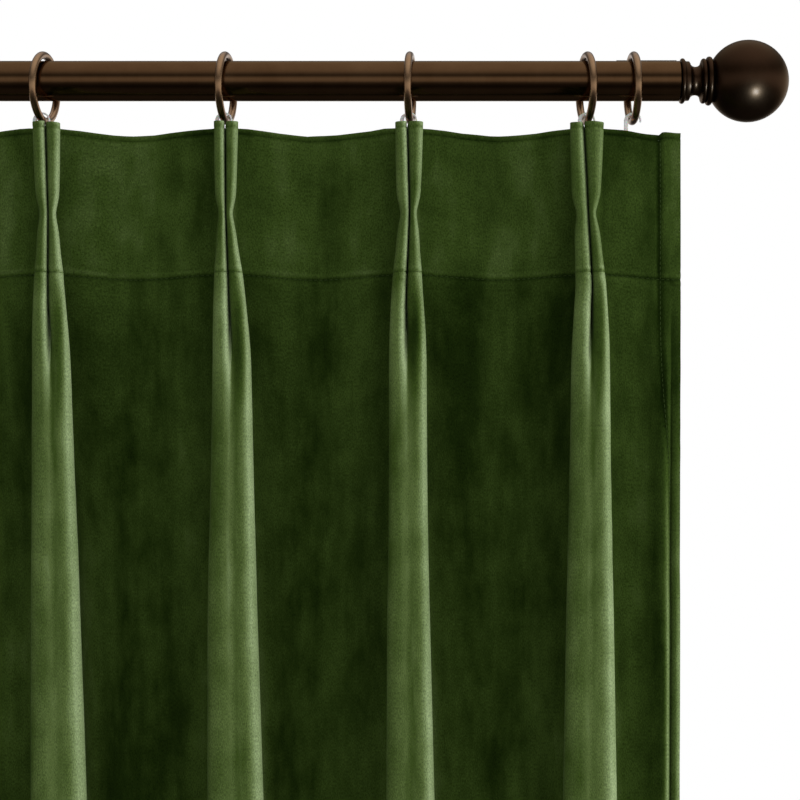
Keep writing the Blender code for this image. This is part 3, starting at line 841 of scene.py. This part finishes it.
def make_stitches(points, along, mats):
    """Rows of stitches along the heading, the bottom hem and both side hems."""
    first_row = 4  # the side hems' stitches start below the top seam
    normals = surface_normals(points)
    drops = row_drops()
    face = points + normals * CLOTH / 2
    lines = []
    for level in (HEADING + 0.2 * MM, LENGTH - HEM):
        row = int(np.abs(drops - level).argmin())
        lines.append((face[row], normals[row]))
    for insets in (np.full(len(along), SIDE_HEM), along[:, -1] - SIDE_HEM):
        lines.append(tuple(
            np.array([
                [np.interp(inset, reach, row[:, i]) for i in range(3)]
                for inset, reach, row in zip(insets, along, field)
            ])[first_row:]
            for field in (face, normals)
        ))
    mesh = bpy.data.meshes.new("seam_stitches")
    work = bmesh.new()
    for line, outward in lines:
        steps = np.linalg.norm(np.diff(line, axis=0), axis=1)
        reach = np.concatenate([[0], np.cumsum(steps)])
        for begin in np.arange(1 * MM, reach[-1] - STITCH_PITCH, STITCH_PITCH):
            start, end = (
                Vector([np.interp(at, reach, line[:, i]) for i in range(3)])
                for at in (begin, begin + STITCH_LENGTH)
            )
            middle = begin + STITCH_LENGTH / 2
            normal = Vector([np.interp(middle, reach, outward[:, i]) for i in range(3)])
            add_stitch(work, start, end, normal.normalized())
    work.to_mesh(mesh)
    work.free()
    mesh.shade_smooth()
    piece = new_piece("seam_stitches", mesh, [mats["thread"]])
    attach(piece, FIXED_BODY)
    return piece


def apply_modifiers(piece):
    evaluated = piece.evaluated_get(bpy.context.evaluated_depsgraph_get())
    mesh = bpy.data.meshes.new_from_object(evaluated)
    piece.modifiers.clear()
    piece.data = mesh


def draw_along(piece):
    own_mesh(piece)


# Light, floor and camera

def make_world():
    """White to the camera; a studio lit from above, with a soft band at eye level."""
    world = bpy.data.worlds.new("studio")
    bpy.context.scene.world = world
    world.use_nodes = True
    tree = world.node_tree
    tree.nodes.clear()
    link = tree.links.new
    coordinates = tree.nodes.new("ShaderNodeTexCoord")
    split = tree.nodes.new("ShaderNodeSeparateXYZ")
    height = tree.nodes.new("ShaderNodeMapRange")
    height.inputs["From Min"].default_value = -1
    side = tree.nodes.new("ShaderNodeMapRange")
    side.inputs["From Min"].default_value = -1
    side.inputs["To Min"].default_value = 0.7
    side.inputs["To Max"].default_value = 1.3
    ramp = tree.nodes.new("ShaderNodeValToRGB")
    elements = ramp.color_ramp.elements
    while len(elements) < len(STUDIO_LEVELS):
        elements.new(0.5)
    for element, (place, level) in zip(elements, STUDIO_LEVELS):
        element.position = place
        element.color = (level, level, level, 1)
    lit = tree.nodes.new("ShaderNodeBackground")
    white = tree.nodes.new("ShaderNodeBackground")
    white.inputs["Strength"].default_value = 1.0
    white.inputs["Color"].default_value = (1, 1, 1, 1)
    path = tree.nodes.new("ShaderNodeLightPath")
    mix = tree.nodes.new("ShaderNodeMixShader")
    out = tree.nodes.new("ShaderNodeOutputWorld")
    link(coordinates.outputs["Generated"], split.inputs[0])
    link(split.outputs["Z"], height.inputs["Value"])
    link(height.outputs[0], ramp.inputs["Fac"])
    link(ramp.outputs["Color"], lit.inputs["Color"])
    link(split.outputs["X"], side.inputs["Value"])
    link(side.outputs[0], lit.inputs["Strength"])
    link(path.outputs["Is Camera Ray"], mix.inputs[0])
    link(lit.outputs[0], mix.inputs[1])
    link(white.outputs[0], mix.inputs[2])
    link(mix.outputs[0], out.inputs["Surface"])


def area_light(name, size, power, place, target):
    data = bpy.data.lights.new(name, "AREA")
    data.shape = "RECTANGLE"
    data.size, data.size_y = size
    data.energy = power
    obj = bpy.data.objects.new(name, data)
    obj.location = place
    obj.rotation_euler = (Vector(target) - Vector(place)).to_track_quat("-Z", "Y").to_euler()
    bpy.context.scene.collection.objects.link(obj)
    return obj


def light_place(target, azimuth, elevation, distance):
    """A place around the target; azimuth runs from straight in front towards +X."""
    level = math.cos(elevation)
    direction = Vector((math.sin(azimuth) * level, -math.cos(azimuth) * level, math.sin(elevation)))
    return target + distance * direction


def make_lights(finials):
    target = Vector((ROD_HALF - 0.2, ROD_Y, ROD_Z - 0.3))
    side = light_place(target, math.radians(72), math.radians(8), 3.0)
    area_light("side", (1.2, 2.0), 30, side, target).visible_glossy = False
    fill = light_place(target, math.radians(6), math.radians(4), 3.0)
    area_light("fill", (2.2, 2.0), 14, fill, target).visible_glossy = False

    # A small light that only the finials catch
    finial = Vector((ROD_HALF + 0.04, ROD_Y, ROD_Z))
    low = light_place(finial, math.radians(19), math.radians(-37), 2.6)
    catch = area_light("catch", (0.5, 0.5), 130, low, finial)
    catch.data.color = (0.45, 0.72, 1.0)
    group = bpy.data.collections.new("finials")
    for piece in finials:
        group.objects.link(piece)
    catch.light_linking.receiver_collection = group


def make_floor():
    low = frame_bounds[0]
    mesh = bpy.data.meshes.new("floor")
    half, z = 6.0, low[2] - 12 * MM
    mesh.from_pydata([(-half, -half, z), (half, -half, z), (half, half, z), (-half, half, z)],
                     [], [(0, 1, 2, 3)])
    mat = Nodes("pale_floor")
    cloud = mat.noise(mat.coordinates((1, 1, 1)), 3, 2)
    mat.link(mat.ramp(cloud, [(0.3, (0.72, 0.72, 0.71)), (0.7, (0.78, 0.78, 0.77))]),
             mat.shader.inputs["Base Color"])
    mat.shader.inputs["Roughness"].default_value = 0.7
    floor = new_piece("floor", mesh, [mat.material])
    floor.visible_glossy = False


def make_camera():
    data = bpy.data.cameras.new("camera")
    data.sensor_width = 36
    data.lens = 36 * CAMERA_DISTANCE / VIEW_WIDTH
    camera = bpy.data.objects.new("camera", data)
    camera.location = (ROD_HALF - CAMERA_FROM_ROD_END, ROD_Y - CAMERA_DISTANCE,
                       ROD_Z - CAMERA_BELOW_ROD)
    camera.rotation_euler = (math.radians(90), 0, 0)
    bpy.context.scene.collection.objects.link(camera)
    bpy.context.scene.camera = camera


def make_facing(mats):
    """The velvet turned over the stiff strip, which closes the heading's back."""
    columns = 241
    x = np.linspace(BAND_LOW.x, BAND_HIGH.x, columns)
    y = (BAND_LOW.y + BAND_HIGH.y) / 2
    rows = []
    for share in np.linspace(0, 1, 14):
        top = TOP_Z - top_sag(x) - 1.5 * MM
        bottom = TOP_Z - HEADING - 0.65 * top_sag(x) + 2 * MM
        rows.append(np.stack([x, 0 * x + y, top + (bottom - top) * share], axis=-1))
    points = np.array(rows)
    mesh = bpy.data.meshes.new("heading_facing")
    mesh.from_pydata(points.reshape(-1, 3), [], grid_faces(14, columns))
    mesh.shade_smooth()
    piece = new_piece("heading_facing", mesh, [mats["velvet_back"]])
    thick = piece.modifiers.new("cloth", "SOLIDIFY")
    thick.thickness = 0.8 * MM
    thick.offset = 0
    apply_modifiers(piece)
    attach(piece, FIXED_BODY)
    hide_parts("buckram_band")
    draw_along(piece)


def main():
    mats = {
        "velvet": velvet_material("green_velvet", VELVET_TONES),
        "velvet_back": woven_material("velvet_back", (0.07, 0.11, 0.045), 0.9 * MM),
        "thread": woven_material("sewing_thread", (0.045, 0.08, 0.016), 0.25 * MM, 0.0),
        "rod": metal_material("rod_bronze", (0.078, 0.039, 0.017), (0.105, 0.056, 0.026), 0.17,
                              (0.02, 1, 1), rim=(0.8, 0.7, 0.6)),
        "ring": metal_material("ring_bronze", (0.24, 0.14, 0.075), (0.34, 0.21, 0.115), 0.24),
        "finial": metal_material("finial_bronze", (0.029, 0.0135, 0.006), (0.038, 0.018, 0.0085),
                                 0.33, coat=0.05, rim=(0.8, 0.7, 0.6)),
        "bracket": metal_material("bracket_bronze", (0.05, 0.03, 0.017), (0.075, 0.048, 0.028),
                                  0.36, rim=(0.7, 0.55, 0.45)),
        "steel": metal_material("zinc_steel", (0.45, 0.45, 0.43), (0.62, 0.62, 0.6), 0.35),
        "plastic": plastic_material("white_plastic"),
    }
    make_camera()
    make_world()
    make_floor()
    make_rod(mats["rod"])
    finials = make_finial("left", -1, mats["finial"]) + make_finial("right", 1, mats["finial"])
    make_lights(finials)
    dress_frame(mats)
    make_rings(mats["ring"])
    make_hooks(mats["plastic"])
    panel, points, along = make_panel(mats)
    draw_along(panel)
    draw_along(make_stitches(points, along, mats))
    make_facing(mats)
    bpy.context.scene.view_settings.view_transform = "Standard"


main()
